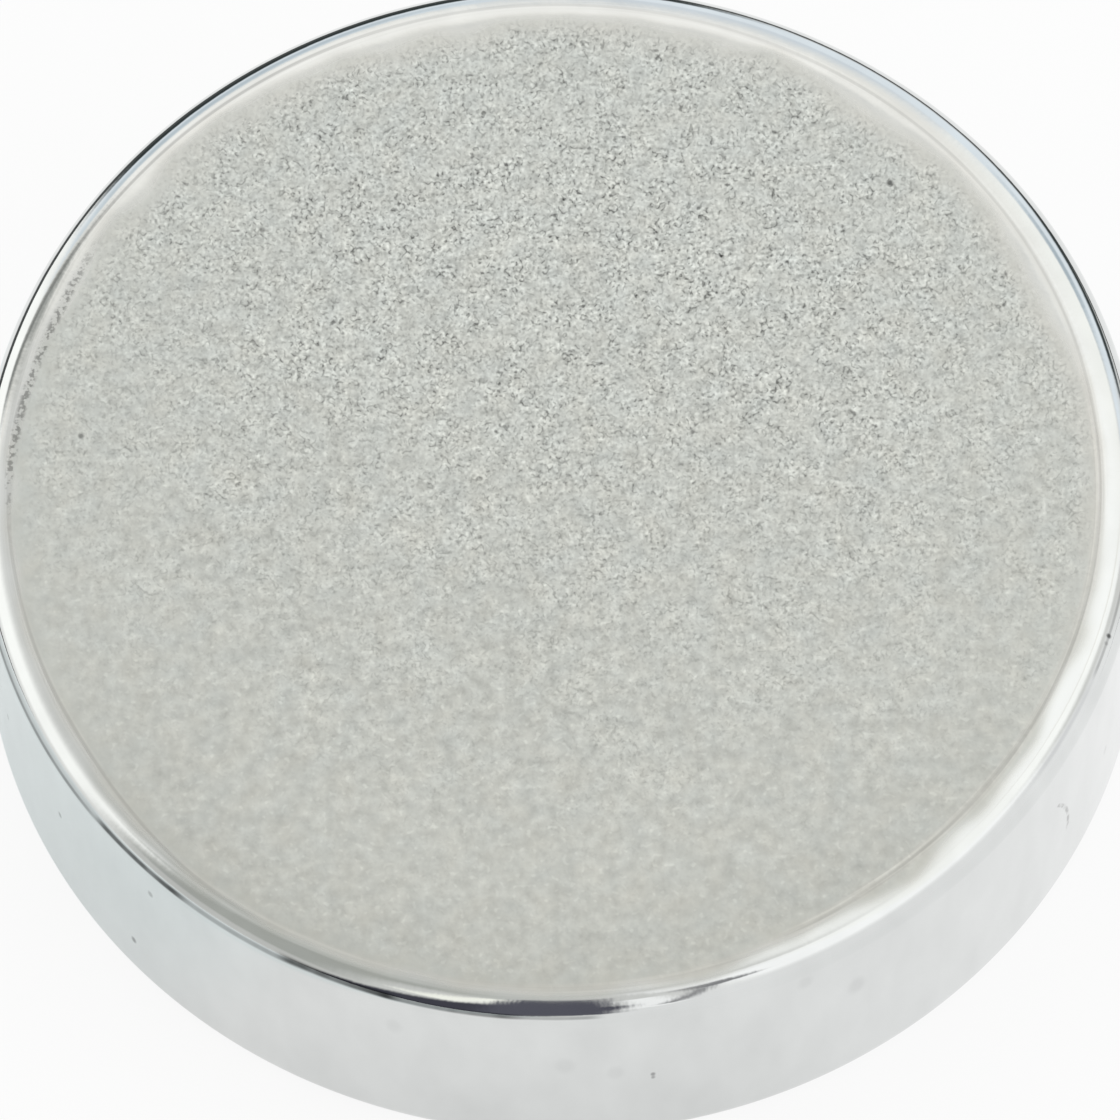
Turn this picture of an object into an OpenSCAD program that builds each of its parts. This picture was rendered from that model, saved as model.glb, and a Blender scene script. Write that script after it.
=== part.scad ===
// Disc magnet: a short round slug of sintered magnet alloy, ground flat on both
// pole faces, tumbled so that its edges are round, and nickel plated all over.
// The magnetic axis is +Z, and the origin is the centre of the lower pole face.

/* [Disc] */
// Diameter over the plated wall, in mm
diameter = 20; // [6:0.5:60]
// Height between the two pole faces, in mm
thickness = 5; // [2:0.5:20]

/* [Tumbled edges] */
// Radius of the tight round that runs into the wall, in mm
edge_radius = 0.45; // [0.1:0.05:0.8]
// Radius of the long shallow shoulder that leaves the pole face, in mm
shoulder_radius = 3; // [1:0.5:5]
// Slope of the surface where the shoulder runs into the tight round, in degrees
shoulder_angle = 8; // [2:1:12]

/* [Hidden] */
wall_radius = diameter / 2;
face_height = thickness / 2; // a pole face, counted from the mid height

// A tumbled edge is two arcs that meet at the blend point. Both have their
// centre on the normal there, so the shoulder runs into the round uncreased.
blend_radius = wall_radius - edge_radius * (1 - sin(shoulder_angle));
blend_height = face_height - shoulder_radius * (1 - cos(shoulder_angle));

// The flat of the pole face ends here, and the upright wall there
face_radius = blend_radius - shoulder_radius * sin(shoulder_angle);
wall_height = blend_height - edge_radius * cos(shoulder_angle);

// The arcs stand proud of the pole face and the wall by this, and are cut off
// level with them. An arc that only touched them would leave a sliver.
lap = 0.0001;

// Segments round the disc, and in a whole turn of an edge's arcs
round_segments = 240;
arc_segments = 96;

// Half of a circle that touches the origin from below. The half lies on the
// side of the y axis that side gives, -1 or 1.
module half_round(radius, side) {
    reach = 2 * radius;
    intersection() {
        translate([0, -radius])
            circle(r = radius, $fn = arc_segments);
        translate([min(0, side * reach), -radius - reach])
            square([reach, 2 * reach]);
    }
}

// The upper edge in a half section whose axis is at x = 0 and whose mid height
// is at y = 0. The square trims it to the pole face, the wall and mid height.
module tumbled_edge() {
    intersection() {
        translate([blend_radius + lap, blend_height + lap])
            rotate(-shoulder_angle) {
                half_round(shoulder_radius, -1);
                half_round(edge_radius, 1);
            }
        square([wall_radius, face_height]);
    }
}

// The half section above the mid height
module upper_section() {
    square([face_radius, face_height]);
    square([wall_radius, wall_height]);
    tumbled_edge();
}

// The whole plated disc, standing on its lower pole face
module magnet_disc() {
    color([0.78, 0.78, 0.76])
        translate([0, 0, face_height])
            rotate_extrude($fn = round_segments) {
                upper_section();
                mirror([0, 1])
                    upper_section();
            }
}

magnet_disc();
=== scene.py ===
"""Looks of the disc magnet: a nickel plated disc, satin on its pole faces and bright on its
wall and tumbled edges, on a white table in a light tent.

The file is laid out as an add-on. The disc and the stage have an operator each, and main()
runs both.
"""

import math
from typing import NamedTuple

import bpy
import numpy as np
from bpy.props import FloatProperty, FloatVectorProperty, IntProperty, PointerProperty
from mathutils import Matrix, Vector


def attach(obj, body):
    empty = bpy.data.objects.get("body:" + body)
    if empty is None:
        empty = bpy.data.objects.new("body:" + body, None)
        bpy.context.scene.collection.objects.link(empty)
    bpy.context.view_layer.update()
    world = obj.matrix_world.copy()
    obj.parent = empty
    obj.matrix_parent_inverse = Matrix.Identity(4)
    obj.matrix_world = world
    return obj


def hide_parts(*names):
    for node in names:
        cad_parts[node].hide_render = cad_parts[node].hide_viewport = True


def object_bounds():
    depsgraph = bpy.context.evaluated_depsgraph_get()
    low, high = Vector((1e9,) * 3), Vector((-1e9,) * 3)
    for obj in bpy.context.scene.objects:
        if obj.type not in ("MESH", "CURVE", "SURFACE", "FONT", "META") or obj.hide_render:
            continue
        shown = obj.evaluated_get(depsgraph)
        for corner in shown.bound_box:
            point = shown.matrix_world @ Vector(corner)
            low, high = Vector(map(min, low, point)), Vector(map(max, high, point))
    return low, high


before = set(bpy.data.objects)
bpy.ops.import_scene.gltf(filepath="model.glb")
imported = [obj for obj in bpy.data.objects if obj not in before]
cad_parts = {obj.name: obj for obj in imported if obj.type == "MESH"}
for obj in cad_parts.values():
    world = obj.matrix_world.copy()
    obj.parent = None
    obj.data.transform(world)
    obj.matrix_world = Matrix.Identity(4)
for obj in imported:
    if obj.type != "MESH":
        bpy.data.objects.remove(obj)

bl_info = {
    "name": "Disc magnet",
    "version": (1, 0, 0),
    "blender": (4, 5, 0),
    "location": "View3D > Sidebar > Disc magnet",
    "description": "Makes a nickel plated disc magnet and the stage it stands on",
    "category": "Add Mesh",
}

CAD_NODE = "magnet_disc"
CAD_BODY = "root"
MM = 0.001
MICRON = 1e-6
DEGREES = 180 / math.pi

CAD_LOW, CAD_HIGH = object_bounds()
DIAMETER = CAD_HIGH.x - CAD_LOW.x
THICKNESS = CAD_HIGH.z - CAD_LOW.z
CENTRE = (CAD_LOW + CAD_HIGH) / 2


# ---------------------------------------------------------------- properties


class DiscSizes(bpy.types.PropertyGroup):
    """Sizes of the disc, as its maker would give them."""

    diameter: FloatProperty(
        name="Diameter",
        description="Diameter over the plated wall",
        default=DIAMETER,
        unit="LENGTH",
        precision=5,
    )
    thickness: FloatProperty(
        name="Thickness",
        description="Height between the two pole faces",
        default=THICKNESS,
        unit="LENGTH",
        precision=5,
    )
    edge_radius: FloatProperty(
        name="Edge radius",
        description="Radius of the tight round that runs into the wall",
        default=0.45 * MM,
        unit="LENGTH",
        precision=5,
    )
    shoulder_radius: FloatProperty(
        name="Shoulder radius",
        description="Radius of the shallow shoulder that leaves the pole face",
        default=3 * MM,
        unit="LENGTH",
        precision=5,
    )
    shoulder_angle: FloatProperty(
        name="Shoulder angle",
        description="Slope where the shoulder runs into the tight round",
        default=math.radians(8),
        subtype="ANGLE",
    )
    segments: IntProperty(
        name="Segments",
        description="Faces round the disc",
        default=480,
        min=24,
    )


class PlateFinish(bpy.types.PropertyGroup):
    """Colour and texture of the nickel plate."""

    plate_colour: FloatVectorProperty(
        name="Plate colour",
        description="Reflected colour of the bright nickel on the wall and the edges",
        default=(0.735, 0.75, 0.745),
        subtype="COLOR",
        min=0,
        max=1,
    )
    cool_colour: FloatVectorProperty(
        name="Cool face colour",
        description="Reflected colour of the satin nickel where it is coolest",
        default=(0.588, 0.607, 0.586),
        subtype="COLOR",
        min=0,
        max=1,
    )
    warm_colour: FloatVectorProperty(
        name="Warm face colour",
        description="Reflected colour of the satin nickel where it is warmest",
        default=(0.617, 0.607, 0.556),
        subtype="COLOR",
        min=0,
        max=1,
    )
    ring_colour: FloatVectorProperty(
        name="Ring colour",
        description="Reflected colour of the fine rings where the face turns into the edge",
        default=(0.675, 0.66, 0.62),
        subtype="COLOR",
        min=0,
        max=1,
    )
    face_roughness: FloatProperty(
        name="Face roughness",
        description="Roughness of the satin pole faces",
        default=0.38,
        min=0,
        max=1,
    )
    wall_roughness: FloatProperty(
        name="Wall roughness",
        description="Roughness of the bright wall and edges",
        default=0.05,
        min=0,
        max=1,
    )
    grain_size: FloatProperty(
        name="Grain size",
        description="Distance from one grain of the pole faces to the next",
        default=0.066 * MM,
        unit="LENGTH",
        precision=6,
    )


class StudioSetup(bpy.types.PropertyGroup):
    """Camera of the stage."""

    elevation: FloatProperty(
        name="Elevation",
        description="Angle of the camera above the table",
        default=math.radians(62.95),
        subtype="ANGLE",
    )
    roll: FloatProperty(
        name="Roll",
        description="Clockwise turn of the camera about its own view",
        default=math.radians(2.0),
        subtype="ANGLE",
    )
    distance: FloatProperty(
        name="Distance",
        description="Distance from the camera to the middle of the disc",
        default=0.4,
        unit="LENGTH",
    )
    view_width: FloatProperty(
        name="View width",
        description="Width of the view at the disc, as a share of its diameter",
        default=0.9655,
    )
    aim_right: FloatProperty(
        name="Aim right",
        description="How far to the right of the disc's middle the camera aims",
        default=-0.024 * MM,
        unit="LENGTH",
        precision=6,
    )
    aim_up: FloatProperty(
        name="Aim up",
        description="How far above the disc's middle, square to the view, the camera aims",
        default=-0.067 * MM,
        unit="LENGTH",
        precision=6,
    )


# ------------------------------------------------------------- shader maths


class Value:
    """The output of a shader node. Arithmetic on it adds Math nodes to the same tree."""

    def __init__(self, graph, socket):
        self.graph = graph
        self.socket = socket

    def _maths(self, operation, *values):
        return self.graph.node("Math", {"operation": operation}, values)

    def __add__(self, other):
        return self._maths("ADD", self, other)

    __radd__ = __add__

    def __sub__(self, other):
        return self._maths("SUBTRACT", self, other)

    def __rsub__(self, other):
        return self._maths("SUBTRACT", other, self)

    def __mul__(self, other):
        return self._maths("MULTIPLY", self, other)

    __rmul__ = __mul__

    def __truediv__(self, other):
        return self._maths("DIVIDE", self, other)

    def __rtruediv__(self, other):
        return self._maths("DIVIDE", other, self)

    def absolute(self):
        return self._maths("ABSOLUTE", self)

    def root(self):
        return self._maths("SQRT", self)

    def within_half_turn(self):
        """The same angle in degrees, between -180 and 180."""
        return self._maths("WRAP", self, 180, -180)

    def angle_from(self, other):
        """The angle of the point (other, self), in radians."""
        return self._maths("ARCTAN2", self, other)


class Graph:
    """A node tree that is built from expressions."""

    def __init__(self, tree):
        self.tree = tree
        tree.nodes.clear()

    def node(self, kind, settings=None, inputs=(), output=0):
        """Adds a node, sets it up, feeds its sockets and gives one of its outputs.

        kind is the node's type without its prefix, and settings are its own options.
        inputs are values or links, in order or by name.
        """
        made = self.tree.nodes.new("ShaderNode" + kind)
        for name, setting in (settings or {}).items():
            setattr(made, name, setting)
        pairs = inputs.items() if isinstance(inputs, dict) else enumerate(inputs)
        for key, value in pairs:
            self.feed(made.inputs[key], value)
        return Value(self, made.outputs[output]) if made.outputs else None

    def feed(self, socket, value):
        """Links a shader value to a socket, or sets the socket to a plain one."""
        if isinstance(value, Value):
            self.tree.links.new(value.socket, socket)
        else:
            socket.default_value = value

    def smooth(self, value, low, high, low_gives=0.0, high_gives=1.0):
        """Runs smoothly from low_gives to high_gives as value goes from low to high."""
        return self.node(
            "MapRange",
            {"interpolation_type": "SMOOTHSTEP"},
            (value, low, high, low_gives, high_gives),
        )

    def blend(self, share, first, second):
        """The first colour where share is 0, the second where it is 1."""
        return self.node(
            "Mix",
            {"data_type": "RGBA"},
            {0: share, 6: first, 7: second},
            output=2,
        )

    def tint(self, colour, value):
        """A colour made lighter or darker by a value."""
        return self.node("VectorMath", {"operation": "SCALE"}, {0: colour, 3: value})

    def parts(self, vector):
        """The three parts of a vector."""
        split = self.node("SeparateXYZ", None, (vector,))
        outputs = split.socket.node.outputs
        return [Value(self, outputs[i]) for i in range(3)]

    def point(self, x, y, z):
        """The vector of three parts."""
        return self.node("CombineXYZ", None, (x, y, z))

    def noise(self, place, size, detail, shift=0.0):
        """Soft noise between 0 and 1 whose lumps are about size across.

        shift moves the pattern, so that two noises of one size differ.
        """
        if shift:
            place = self.node("VectorMath", None, (place, (shift, shift, shift)))
        return self.node(
            "TexNoise",
            {"noise_dimensions": "3D"},
            {"Vector": place, "Scale": 1 / size, "Detail": detail},
        )


# ------------------------------------------------------------------ the disc


# Points along each part of the half meridian, with both its ends
FLAT_POINTS = 13
SHOULDER_POINTS = 13
ROUND_POINTS = 33
WALL_POINTS = 7


def edge_profile(sizes):
    """Half of a meridian, from the middle of the upper face to mid height on the wall.

    The flat runs out to where the shoulder starts. The shoulder is an arc of the large
    radius that turns through shoulder_angle, and the tight round is an arc of the small
    radius that turns through the rest of the right angle. Both arcs have their centre on
    the normal of the point where they meet, so the tangent turns without a break. The
    wall then drops straight. Gives columns of radius and height above mid height.
    """
    turn = sizes.shoulder_angle
    wall = sizes.diameter / 2
    face = sizes.thickness / 2
    shoulder, edge = sizes.shoulder_radius, sizes.edge_radius
    edge_centre = wall - edge
    shoulder_centre = edge_centre - (shoulder - edge) * math.sin(turn)
    edge_height = face - shoulder + (shoulder - edge) * math.cos(turn)

    flat_r = np.linspace(0, shoulder_centre, FLAT_POINTS)[:-1]
    flat = np.column_stack([flat_r, np.full_like(flat_r, face)])
    tilt = np.linspace(0, turn, SHOULDER_POINTS)[:-1]
    shallow = np.column_stack(
        [
            shoulder_centre + shoulder * np.sin(tilt),
            face - shoulder + shoulder * np.cos(tilt),
        ]
    )
    tilt = np.linspace(turn, math.pi / 2, ROUND_POINTS)
    tight = np.column_stack(
        [edge_centre + edge * np.sin(tilt), edge_height + edge * np.cos(tilt)]
    )
    drop = np.linspace(edge_height, 0, WALL_POINTS)[1:]
    upright = np.column_stack([np.full_like(drop, wall), drop])
    return np.vstack([flat, shallow, tight, upright])


def lathe(profile, segments):
    """Turns a closed meridian about Z.

    Point (i, j) is at radius r_i, angle 2 pi j / segments and height z_i. The first and
    the last row have no radius and are one point each, and a fan of triangles closes each.
    """
    angle = np.linspace(0, 2 * math.pi, segments, endpoint=False)
    radius, height = profile[1:-1, 0], profile[1:-1, 1]
    rings = np.stack(
        [
            radius[:, None] * np.cos(angle),
            radius[:, None] * np.sin(angle),
            np.broadcast_to(height[:, None], (len(height), segments)),
        ],
        axis=-1,
    )
    first, last = (0, 0, profile[0, 1]), (0, 0, profile[-1, 1])
    points = np.vstack([rings.reshape(-1, 3), [first, last]])

    here = np.arange(len(radius) * segments).reshape(len(radius), segments)
    there = np.roll(here, -1, axis=1)
    quads = np.stack([here[:-1], here[1:], there[1:], there[:-1]], axis=-1)
    start, end = here.size, here.size + 1
    top = np.stack([np.full(segments, start), here[0], there[0]], axis=-1)
    base = np.stack([np.full(segments, end), there[-1], here[-1]], axis=-1)
    return points, [*quads.reshape(-1, 4).tolist(), *top.tolist(), *base.tolist()]


def disc_mesh(sizes):
    """The half meridian and its mirror image about mid height, turned about Z and set on
    the table.
    """
    upper = edge_profile(sizes)
    lower = upper[-2::-1] * (1, -1)
    profile = np.vstack([upper, lower]) + (0, sizes.thickness / 2)
    points, faces = lathe(profile, sizes.segments)
    mesh = bpy.data.meshes.new("plated_disc")
    mesh.from_pydata(points, [], faces)
    mesh.shade_smooth()
    mesh.validate()
    return mesh


# ---------------------------------------------------------------- the finish


class Mark(NamedTuple):
    """A small dark mark on the plate: its middle and its radius in mm, and the share of
    the light that it takes.
    """

    x: float
    y: float
    z: float
    radius: float
    dark: float


def on_wall(azimuth, height, radius, dark):
    """A mark on the wall, at an azimuth in degrees and a height in mm."""
    turn = math.radians(azimuth)
    wall = DIAMETER / 2 / MM
    return Mark(wall * math.cos(turn), wall * math.sin(turn), height, radius, dark)


MARKS = (
    on_wall(196.3, 2.65, 0.05, 0.55),
    on_wall(209.1, 2.94, 0.05, 0.5),
    on_wall(223.9, 3.95, 0.055, 0.4),
    on_wall(220.9, 1.42, 0.055, 0.6),
    on_wall(251.8, 3.76, 0.14, 0.06),
    on_wall(268.6, 2.99, 0.16, 0.06),
    on_wall(273.5, 2.62, 0.14, 0.06),
    on_wall(277.2, 2.40, 0.04, 0.5),
    on_wall(277.2, 2.28, 0.035, 0.4),
    on_wall(292.9, 4.29, 0.13, 0.06),
    on_wall(298.5, 3.26, 0.16, 0.10),
    on_wall(337.2, 2.05, 0.07, 0.15),
    # a nick in the edge
    Mark(9.30, -3.12, 4.89, 0.042, 0.75),
    Mark(9.25, -3.26, 4.89, 0.035, 0.25),
    # dark specks in the grain of the upper face
    Mark(5.04, 1.31, 5.0, 0.05, 0.45),
    Mark(-8.17, 1.36, 5.0, 0.05, 0.6),
    Mark(5.89, 5.73, 5.0, 0.055, 0.75),
    Mark(-4.96, 5.24, 5.0, 0.055, 0.5),
)

# The small marks are round where the height is squeezed by this, so they are drawn out
# along the axis
MARK_SQUEEZE = 0.6


class DarkReflectionLine(NamedTuple):
    """A stretch of the painted dark reflection that runs along each edge of the wall, where
    the tight round meets it.

    azimuth and half_length are in degrees, height above mid height and half_width in mm,
    and dark is the share of the light that it takes.
    """

    azimuth: float
    half_length: float
    height: float
    half_width: float
    dark: float


# painted dark reflections, drawn into the plate's colour along the edges of the wall
DARK_REFLECTION_LINES = (
    DarkReflectionLine(201, 14, 2.185, 0.035, 0.50),
    DarkReflectionLine(204, 13, 2.215, 0.07, 0.22),
    DarkReflectionLine(222, 6, 2.214, 0.045, 0.80),
    DarkReflectionLine(234, 8, 2.215, 0.045, 0.42),
    DarkReflectionLine(246, 6, 2.245, 0.05, 0.80),
    DarkReflectionLine(257, 7, 2.235, 0.04, 0.60),
    DarkReflectionLine(267, 5, 2.235, 0.03, 0.40),
    DarkReflectionLine(342, 5, 2.39, 0.014, 0.35),
)


class Scratch(NamedTuple):
    """A short curved scratch on the wall, which bends like a parabola.

    It bulges most at azimuth, in degrees, and at the height bulge. foot and top are its
    ends, all in mm, and bend is how many degrees it turns away at 1 mm from the bulge.
    """

    azimuth: float
    bulge: float
    foot: float
    top: float
    bend: float


SCRATCH = Scratch(328.5, 2.2, 1.9, 3.35, 1.7)

# The painted dark ring between the face and the edge, a painted dark reflection drawn into
# the plate's colour, as shares of the disc's radius: its own radius, and half the width of
# its darkest core and of its whole spread
PAINTED_RING = 0.94
PAINTED_RING_CORE = 0.001
PAINTED_RING_SPREAD = 0.0045


class DiscPlace:
    """Where a point of the disc is, as shader values.

    point is the place in metres and x, y and z are its parts. radius is its distance from
    the axis, azimuth its angle about it in degrees, and patch a slow noise.
    """

    def __init__(self, graph, sizes):
        self.graph = graph
        self.wall = sizes.diameter / 2
        self.mid_height = sizes.thickness / 2
        self.point = graph.node("TexCoord", output="Object")
        self.x, self.y, self.z = graph.parts(self.point)
        self.radius = (self.x * self.x + self.y * self.y).root()
        self.azimuth = self.y.angle_from(self.x) * DEGREES
        self.patch = graph.noise(self.point, 1.6 * MM, 1.0)

    def turned_from(self, azimuth):
        """Degrees from an azimuth to the point, less than 0 on its clockwise side."""
        return (self.azimuth - azimuth).within_half_turn()

    def sector(self, azimuth, outer, inner):
        """1 within inner degrees of an azimuth and 0 beyond outer degrees of it."""
        return self.graph.smooth(self.turned_from(azimuth).absolute(), outer, inner)


class Zones(NamedTuple):
    """The zones of the plate, from the middle of a face out to the tumbled edge.

    border is the distance from the axis, bent so that the polished border of the face comes
    out wide at the right and at the back and thin in front. inner is the same with a ragged
    line, which is where the satin ends. The others are 1 in their zone and 0 outside it:
    satin and grained on the face, ring where it turns into the edge, corner at the right
    front, and the last one along the front of the face, where the plate is darkened as
    painted shade.
    """

    border: Value
    inner: Value
    satin: Value
    grained: Value
    ring: Value
    corner: Value
    painted_front_shade: Value


def plate_zones(g, disc):
    """The zones that a point of the disc is in."""
    wall = disc.wall
    front = disc.sector(255, 50, 25)
    corner = disc.sector(330, 52, 22)
    border = disc.radius + disc.x * 0.0121 - disc.y * 0.007 - front * (0.02 * wall)
    ragged = (disc.patch - 0.5) * (0.06 * wall)
    inner = border + disc.y * 0.02 + ragged - corner * (0.019 * wall)
    face = g.smooth(inner, 0.942 * wall, 0.870 * wall)
    ring = g.smooth(border, 0.925 * wall, 0.935 * wall)
    return Zones(
        border=border,
        inner=inner,
        satin=g.smooth(inner, 0.948 * wall, 0.912 * wall),
        grained=face * g.smooth(disc.radius, 0.8 * wall, 0.5 * wall, 0.8, 1.0),
        ring=ring * g.smooth(border, 0.954 * wall, 0.942 * wall),
        corner=corner,
        # painted shade along the front of the face
        painted_front_shade=disc.sector(265, 75, 35) * g.smooth(inner, 0.68 * wall, 0.92 * wall),
    )


def face_grain(g, disc, size):
    """The satin grain: fine light and dark, short dark furrows, bright tips, soft lumps.

    The fine grain and the furrows are sharp at the back of the face and nearly gone in
    front. Gives the whole pattern, which is about 0 on average, and its fine grain, from
    0 to 1.
    """
    cluster = g.noise(disc.point, 0.45 * MM, 1.0)
    clustered = g.smooth(cluster, 0.36, 0.62, 0.6, 1.2)
    bow = disc.x * disc.x * (0.28 / disc.wall)
    reach = disc.y + disc.x * 0.15 - bow + (disc.patch - 0.5) * (0.6 * disc.wall)
    sharp = g.smooth(reach, -0.82 * disc.wall, 0.62 * disc.wall, 0.08, 0.97)
    calm = g.smooth(reach, -0.25 * disc.wall, -0.8 * disc.wall, 0.0, 0.1)

    drawn = g.point(disc.x, disc.y * 0.88, disc.z)
    fine = g.noise(drawn, size, 1.0)
    ridge = (g.noise(drawn, 1.5 * size, 0.0, 3.1 * MM) - 0.5).absolute()
    breaks = g.noise(drawn, 1.1 * size, 0.0, 9.1 * MM)
    furrows = g.smooth(ridge, 0.15, 0.0) * g.smooth(breaks, 0.50, 0.60)
    tips = g.smooth(g.noise(disc.point, 1.5 * size, 0.0, 7.3 * MM), 0.62, 0.84)
    lumps = g.noise(disc.point, 3.4 * size, 2.0, 5.3 * MM)
    grain = (
        ((fine - 0.5) * 1.3 - furrows * 0.5) * sharp * clustered
        + tips * (sharp * 0.06 + 0.13)
        + (lumps - 0.5) * (0.62 * (1.0 - calm))
        + (cluster - 0.5) * (1.0 - sharp) * 0.20
        + (disc.patch - 0.5) * 0.05
        + sharp * 0.07
        - 0.04
    )
    return grain, fine


def edge_rings(g, disc):
    """Fine lines that run round the edge, which are 0 on average."""
    across = disc.radius / (0.045 * MM)
    around = g.point(across, disc.x / disc.wall * 3, disc.y / disc.wall * 3)
    return g.noise(around, 1.0, 1.0) - 0.5


def painted_ring_shade(g, disc, border):
    """The share of the light that the painted dark rings between the face and the edge
    leave.

    They are painted dark reflections, thin lines in the plate's colour. The first one
    leaves outwards at the left. A second one comes in from the face there with a row of
    dark flecks, and carries on. Both are faint in front.
    """
    wall = disc.wall
    spread, core = PAINTED_RING_SPREAD * wall, PAINTED_RING_CORE * wall
    ahead = disc.turned_from(150)
    faint = 1.0 - disc.sector(268, 42, 22) * 0.75
    left = disc.sector(145, 50, 20)
    outward = g.smooth(ahead, -14, 16) * 0.015
    from_first = (border - (outward + PAINTED_RING) * wall).absolute()
    first = g.smooth(from_first, spread, core) * g.smooth(ahead, 24, 14)

    pitted = disc.sector(161, 24, 12)
    pits = g.smooth(g.noise(disc.point, 0.085 * MM, 1.0, 6.1 * MM), 0.44, 0.62)
    inward = g.smooth(ahead, 34, 0) * 0.02 + disc.sector(190, 45, 30) * 0.006
    from_second = (border + (inward - PAINTED_RING) * wall).absolute() / (pitted * 1.6 + 1.0)
    second = g.smooth(from_second, spread, core) * g.smooth(ahead, -6, 4)
    second = second * faint * (pitted * (pits * 0.45 - 0.08) + 0.15)
    return (1.0 - first * (left * 0.18 + 0.15) * faint) * (1.0 - second)


def with_dark_reflection_lines(g, disc, light):
    """Light with the painted dark reflection line along the top of the wall, and the same
    along its foot.
    """
    from_middle = (disc.z - disc.mid_height).absolute()
    ragged = g.noise(disc.point, 0.3 * MM, 1.0, 4.7 * MM) * 0.4 + 0.75
    for stroke in DARK_REFLECTION_LINES:
        off = (from_middle - stroke.height * MM).absolute()
        line = g.smooth(off, 1.6 * stroke.half_width * MM, 0.4 * stroke.half_width * MM)
        along = disc.sector(stroke.azimuth, 1.2 * stroke.half_length, 0.8 * stroke.half_length)
        light = light * (1.0 - line * along * stroke.dark * ragged)
    return light


def scratch_light(g, disc, scratch):
    """The share of the light that the scratch on the wall leaves."""
    height = disc.z / MM
    above = height - scratch.bulge
    off = (disc.turned_from(scratch.azimuth) + above * above * scratch.bend).absolute()
    lower_end = g.smooth(height, scratch.foot - 0.1, scratch.foot + 0.1)
    upper_end = g.smooth(height, scratch.top, scratch.top - 0.15)
    line = g.smooth(off, 0.35, 0.1) * (lower_end * upper_end)
    broken = g.smooth(g.noise(disc.point, 0.12 * MM, 1.0), 0.38, 0.58)
    return 1.0 - line * (broken * 0.35 + 0.1)


def with_marks(g, disc, light):
    """Light with the small dark marks, which are drawn out along the axis."""
    squeeze = (1, 1, MARK_SQUEEZE)
    squeezed = g.node("VectorMath", {"operation": "MULTIPLY"}, (disc.point, squeeze))
    for mark in MARKS:
        middle = (mark.x * MM, mark.y * MM, mark.z * MARK_SQUEEZE * MM)
        away = g.node("VectorMath", {"operation": "DISTANCE"}, (squeezed, middle), "Value")
        radius = mark.radius * MM
        light = light * g.smooth(away, 0.4 * radius, 1.5 * radius, 1 - mark.dark, 1.0)
    return light


def plate_light(g, disc, zones, grain, rings):
    """How light the plate is at a point, where 1 is its plain colour, with painted dark
    reflections and painted shade in it.
    """
    light = 1.0 + grain * zones.grained + rings * (zones.corner * 0.35 + 0.25)
    # painted dark rings by the face's edge, and painted shade along the front of the face
    light = light * painted_ring_shade(g, disc, zones.border) * (1.0 - zones.painted_front_shade * 0.06)
    # painted dark reflection lines along the edges of the wall
    light = with_dark_reflection_lines(g, disc, light)
    light = light * scratch_light(g, disc, SCRATCH)
    light = with_marks(g, disc, light)

    # the bright plate has faint clouds, drawn out along the axis
    drawn = g.point(disc.x, disc.y, disc.z * 0.4)
    clouds = (g.noise(drawn, 0.8 * MM, 2.0, 2.9 * MM) - 0.5) * (1.0 - zones.satin)
    return light * (1.0 + clouds * 0.16)


def plate_colour(g, disc, zones, finish):
    """Cool and warm satin in soft patches, paler at its rim, and bright plate round it."""
    wall = disc.wall
    warmth = g.noise(disc.point, 0.6 * MM, 2.0, 2.2 * MM) - disc.y / wall * 0.2 - 0.2
    rim = g.smooth(zones.inner, 0.86 * wall, 0.92 * wall) * g.smooth(
        disc.y + disc.x * 0.4, -0.1 * wall, 0.5 * wall
    )
    satin = g.blend(warmth, (*finish.cool_colour, 1), (*finish.warm_colour, 1))
    satin = g.blend(zones.ring * 0.5 + rim * 0.5, satin, (*finish.ring_colour, 1))
    return g.blend(zones.satin, (*finish.plate_colour, 1), satin)


def plate_relief(g, disc, zones, fine, rings):
    """Height in metres: fine grain and rings, and dents and slow waves in bright plate."""
    dents = g.noise(disc.point, 0.11 * MM, 1.0, 1.3 * MM) * (0.7 * MICRON)
    waves = g.noise(disc.point, 0.9 * MM, 1.0, 6.1 * MM) * (4.0 * MICRON)
    return (
        fine * zones.grained * (2.0 * MICRON)
        + rings * (0.5 * MICRON)
        + (dents + waves) * (1.0 - zones.satin)
    )


def nickel_plate(sizes, finish):
    """Bright nickel over a body whose pole faces are left with a fine satin grain.

    The grain is strongest on one half of the face and dies out over the tumbled edge,
    where fine rings take its place. The wall and the tight round are bright.
    """
    material = bpy.data.materials.new("nickel_plate")
    material.use_nodes = True
    g = Graph(material.node_tree)
    disc = DiscPlace(g, sizes)
    zones = plate_zones(g, disc)
    grain, fine = face_grain(g, disc, finish.grain_size)
    rings = edge_rings(g, disc) * zones.ring

    light = plate_light(g, disc, zones, grain, rings)
    colour = g.tint(plate_colour(g, disc, zones, finish), light)
    rougher = finish.face_roughness - finish.wall_roughness
    roughness = finish.wall_roughness + zones.satin * rougher
    height = plate_relief(g, disc, zones, fine, rings)
    relief = g.node("Bump", None, {"Strength": 1.0, "Distance": 1.0, "Height": height})
    surface = g.node(
        "BsdfPrincipled",
        None,
        {
            "Base Color": colour,
            "Metallic": 1.0,
            "Roughness": roughness,
            "Normal": relief,
        },
    )
    g.node("OutputMaterial", None, {"Surface": surface})
    return material


class MAGNET_OT_disc(bpy.types.Operator):
    """Makes the plated disc."""

    bl_idname = "magnet.disc"
    bl_label = "Plated disc"

    def execute(self, context):
        sizes = context.scene.disc_sizes
        finish = context.scene.plate_finish
        disc = bpy.data.objects.new("plated_disc", disc_mesh(sizes))
        context.collection.objects.link(disc)
        disc.data.materials.append(nickel_plate(sizes, finish))
        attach(disc, CAD_BODY)
        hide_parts(CAD_NODE)
        return {"FINISHED"}


# ----------------------------------------------------------------- the stage


# Half the side of the table top, in metres
TABLE_HALF = 2.0

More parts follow.
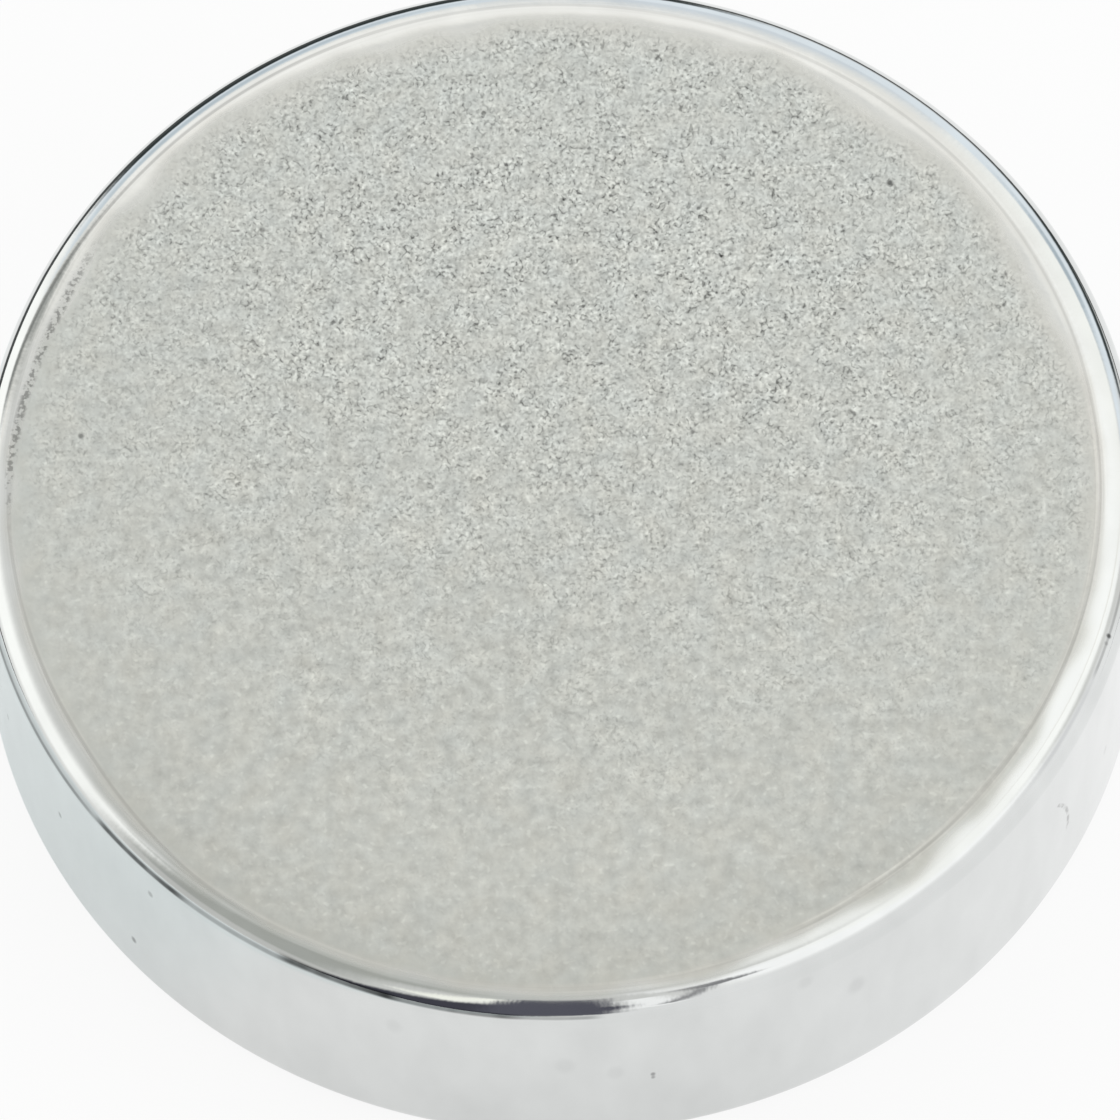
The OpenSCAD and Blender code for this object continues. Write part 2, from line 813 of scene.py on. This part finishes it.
# Share of the table's white that is a glow and not lit, as the camera sees it
CAMERA_GLOW = 0.88

# The same share as bright nickel sees it: round the disc, what is added to that at its
# right as painted light and taken at its left as painted shade and at the foot of its wall
# as a painted shadow, and the share behind the disc, which is raised there as painted light
NEAR_GLOW = 0.82
PAINTED_RIGHT_LIGHT = 0.10
PAINTED_LEFT_SHADE = 0.21
PAINTED_FOOT_SHADOW = 0.14
BEHIND_GLOW = 0.97

WHITE = (1, 1, 1, 1)
PAPER = (0.95, 0.95, 0.95, 1)
# cool tint of the painted shade at the left, as the nickel sees the table
PAINTED_LEFT_SHADE_COLOUR = (0.92, 1.0, 1.015, 1)
# colour of the painted dark reflection that the nickel sees far behind the disc
PAINTED_DARK_REFLECTION = (0.085, 0.09, 0.09, 1)


def table_material():
    """A white table. Part of its white is a glow, so that it stays white all over and
    keeps a light shadow.

    The bright nickel sees painted light and shade on it: a little less of the glow in front
    of the disc and at the left, as a painted shadow at the foot of the wall and painted
    cool shade at the left, more of it at the right and behind as painted light, and a
    painted dark reflection from a little way behind the disc, where the camera still sees
    the table white.
    """
    material = bpy.data.materials.new("white_table")
    material.use_nodes = True
    g = Graph(material.node_tree)
    x, y, _ = g.parts(g.node("TexCoord", output="Object"))
    camera = g.node("LightPath", output="Is Camera Ray")
    mirrored = g.node("LightPath", output="Is Glossy Ray") + g.node(
        "LightPath", output="Is Transmission Ray"
    )
    right = g.smooth(x, 2 * MM, 6 * MM)
    left = g.smooth(x, -6 * MM, -10 * MM)
    behind = g.smooth(y, 3 * MM, 9 * MM)
    foot = g.smooth((x * x + y * y).root(), 12.2 * MM, 10 * MM) * (1.0 - right)

    # the painted dark reflection begins behind the disc and comes nearer at the back left,
    # where its edge runs at a slant; the camera still sees white there
    slant = g.smooth((y - x) * math.sqrt(0.5), 21.5 * MM, 27 * MM)
    corner = slant * g.smooth(y, 8 * MM, 13 * MM)
    painted_dark_zone = 1.0 - (1.0 - g.smooth(y, 33 * MM, 46 * MM)) * (1.0 - corner)

    # painted light at the right, painted cool shade at the left, a painted shadow at the
    # foot of the wall, and painted light behind the disc, all as the nickel sees the table
    near = right * PAINTED_RIGHT_LIGHT - left * PAINTED_LEFT_SHADE - foot * PAINTED_FOOT_SHADOW + NEAR_GLOW
    share = near + (BEHIND_GLOW - near) * behind
    share = share + (1.0 - share) * painted_dark_zone
    seen = camera * CAMERA_GLOW + mirrored * share
    # the cool tint of the painted shade at the left, and the painted dark reflection far
    # behind
    pale = g.blend(left * (1.0 - behind), WHITE, PAINTED_LEFT_SHADE_COLOUR)
    pale = g.blend(painted_dark_zone * mirrored, pale, PAINTED_DARK_REFLECTION)
    pale = g.blend(camera, pale, WHITE)
    paper = g.node("BsdfDiffuse", None, {"Color": PAPER})
    glow = g.node("Emission", None, {"Color": pale, "Strength": 1.0})
    surface = g.node("MixShader", None, (seen, paper, glow))
    g.node("OutputMaterial", None, {"Surface": surface})
    return material


def make_table():
    """A flat square table top under the disc."""
    corners = np.array([[-1, -1], [1, -1], [1, 1], [-1, 1]]) * TABLE_HALF
    points = np.column_stack([corners, np.zeros(4)])
    mesh = bpy.data.meshes.new("table")
    mesh.from_pydata(points, [], [(0, 1, 2, 3)])
    table = bpy.data.objects.new("table", mesh)
    bpy.context.collection.objects.link(table)
    mesh.materials.append(table_material())


class Card(NamedTuple):
    """A soft-edged patch of the tent's cloth, placed as the disc sees it.

    azimuth and elevation are its middle, half_width and half_height its size, lean how
    far its top tilts towards greater azimuths, and edge half the width of its soft edge,
    all in degrees.
    """

    azimuth: float
    elevation: float
    half_width: float
    half_height: float
    lean: float
    edge: float
    colour: tuple


# The plain cloth of the tent, and the cards on it. A later card lies over an earlier one.
CLOTH = (0.80, 0.80, 0.78)
CARDS = (
    # the white cloth at the left, with its foot and its top in half shadow
    Card(158, 24, 38, 31, 0, 12, (1.28, 1.28, 1.25)),
    Card(178, 3, 20, 9, 0, 8, (0.95, 0.95, 0.93)),
    Card(185, 77, 70, 9, 0, 6, (0.67, 0.68, 0.65)),
    Card(192, 61, 8, 9, 0, 6, (0.66, 0.67, 0.64)),
    # the white cloth at the right, the soft box in front of it that reaches overhead,
    # and a dim and a bright patch on them
    Card(322, 14, 50, 22, 0, 8, (1.00, 1.00, 1.00)),
    Card(325, 58, 32, 24, 0, 10, (1.28, 1.28, 1.28)),
    Card(28, 64, 56, 14, 0, 8, (1.26, 1.26, 1.23)),
    Card(356, 27, 8, 8, 0, 6, (0.85, 0.85, 0.86)),
    Card(32, 51, 9, 5, 0, 5, (1.22, 1.22, 1.20)),
    # the cloth behind: cream high up and pale blue below, with bright and dark folds
    Card(80, 26, 42, 20, 0, 5, (0.93, 1.00, 1.06)),
    Card(86, 54.5, 42, 7.5, 13, 3, (1.04, 1.02, 0.97)),
    Card(64, 52, 10, 7, 0, 6, (1.17, 1.17, 1.13)),
    Card(98, 51, 16, 4.5, 20, 3, (1.15, 1.13, 1.09)),
    Card(64, 66, 14, 8, 0, 5, (1.25, 1.25, 1.23)),
    Card(82, 44, 9, 5, 0, 5, (0.80, 0.86, 0.92)),
    Card(106, 33, 12, 9, 0, 7, (0.62, 0.70, 0.76)),
    Card(57, 39, 5, 8, 20, 5, (0.52, 0.60, 0.66)),
    Card(121, 46, 14, 3.2, 35, 3.5, (0.40, 0.41, 0.39)),
    # the grey gap at the front left, with a fold and a sliver of light in it
    Card(216, 48, 19, 30, 0, 9, (0.50, 0.51, 0.48)),
    Card(216, 12, 19, 10, 0, 6, (0.68, 0.68, 0.66)),
    Card(205, 27, 4, 6, 0, 5, (0.50, 0.51, 0.49)),
    Card(250, 52, 5, 16, 16, 4, (1.25, 1.25, 1.15)),
    # the dark opening at the camera, with a sliver of light, and the border of the soft box
    Card(255, 15, 14.4, 30, 32, 4, (0.07, 0.07, 0.09)),
    Card(266, 40, 10, 35, 0, 3, (0.12, 0.12, 0.15)),
    Card(281.8, 36, 3.7, 22, 0, 2.5, (1.22, 1.22, 1.22)),
    Card(288, 36, 1.8, 18, 14, 2, (0.35, 0.35, 0.36)),
    Card(297, 61, 6, 8, 0, 3, (0.30, 0.30, 0.31)),
    # the dark gaps between the cloth behind and the table
    Card(66, -2, 14, 6, 0, 5, (0.20, 0.21, 0.22)),
    Card(100, 2, 21, 14, 0, 4, (0.04, 0.05, 0.05)),
    Card(47, 8, 14, 6, 45, 4, (0.05, 0.06, 0.06)),
)


def make_tent():
    """The light tent round the table, as a world that depends on direction.

    A direction has an azimuth and an elevation. A card covers it as far as both lie within
    the card's size, counted from its middle along its own leaning width and height.
    """
    world = bpy.data.worlds.new("tent")
    world.use_nodes = True
    bpy.context.scene.world = world
    g = Graph(world.node_tree)
    x, y, z = g.parts(g.node("TexCoord", output="Generated"))
    azimuth = y.angle_from(x) * DEGREES
    elevation = z.angle_from((x * x + y * y).root()) * DEGREES
    colour = (*CLOTH, 1)
    for card in CARDS:
        width = (azimuth - card.azimuth).within_half_turn()
        height = elevation - card.elevation
        if card.lean:
            cosine = math.cos(math.radians(card.lean))
            sine = math.sin(math.radians(card.lean))
            width, height = width * cosine - height * sine, height * cosine + width * sine
        width, height = width.absolute(), height.absolute()
        half_w, half_h, edge = card.half_width, card.half_height, card.edge
        share = g.smooth(width, half_w + edge, half_w - edge) * g.smooth(
            height, half_h + edge, half_h - edge
        )
        colour = g.blend(share, colour, (*card.colour, 1))
    surface = g.node("Background", None, {"Color": colour, "Strength": 1.0})
    g.node("OutputWorld", None, {"Surface": surface})


def make_camera(setup):
    """A long lens that looks down at the disc and is turned about its view."""
    lens = bpy.data.cameras.new("camera")
    camera = bpy.data.objects.new("camera", lens)
    bpy.context.collection.objects.link(camera)
    back = Vector((0, -math.cos(setup.elevation), math.sin(setup.elevation)))
    turn = back.to_track_quat("Z", "Y").to_matrix().to_4x4()
    turn = turn @ Matrix.Rotation(-setup.roll, 4, "Z")
    aim = CENTRE + turn @ Vector((setup.aim_right, setup.aim_up, 0))
    camera.matrix_world = Matrix.Translation(aim + back * setup.distance) @ turn
    width = setup.view_width * DIAMETER
    lens.lens = lens.sensor_width * setup.distance / width
    lens.clip_start = setup.distance / 10
    lens.clip_end = setup.distance * 100
    bpy.context.scene.camera = camera


class MAGNET_OT_stage(bpy.types.Operator):
    """Makes the table, the light tent and the camera."""

    bl_idname = "magnet.stage"
    bl_label = "Stage"

    def execute(self, context):
        make_table()
        make_tent()
        make_camera(context.scene.studio_setup)
        context.scene.view_settings.view_transform = "Standard"
        return {"FINISHED"}


# ---------------------------------------------------------------- the add-on


class MAGNET_PT_panel(bpy.types.Panel):
    """Lists the sizes, the finish and the stage with the operators that use them."""

    bl_idname = "MAGNET_PT_panel"
    bl_label = "Disc magnet"
    bl_space_type = "VIEW_3D"
    bl_region_type = "UI"
    bl_category = "Disc magnet"

    def draw(self, context):
        for group, operators in PANEL_ROWS:
            box = self.layout.box()
            settings = getattr(context.scene, group)
            for name in settings.__annotations__:
                box.prop(settings, name)
            for operator in operators:
                box.operator(operator)


PANEL_ROWS = (
    ("disc_sizes", ()),
    ("plate_finish", ("magnet.disc",)),
    ("studio_setup", ("magnet.stage",)),
)
GROUPS = {
    "disc_sizes": DiscSizes,
    "plate_finish": PlateFinish,
    "studio_setup": StudioSetup,
}
CLASSES = (
    DiscSizes,
    PlateFinish,
    StudioSetup,
    MAGNET_OT_disc,
    MAGNET_OT_stage,
    MAGNET_PT_panel,
)


def register():
    for cls in CLASSES:
        bpy.utils.register_class(cls)
    for name, group in GROUPS.items():
        setattr(bpy.types.Scene, name, PointerProperty(type=group))


def unregister():
    for name in GROUPS:
        delattr(bpy.types.Scene, name)
    for cls in reversed(CLASSES):
        bpy.utils.unregister_class(cls)


def main():
    register()
    bpy.ops.magnet.disc()
    bpy.ops.magnet.stage()


if __name__ == "__main__":
    main()
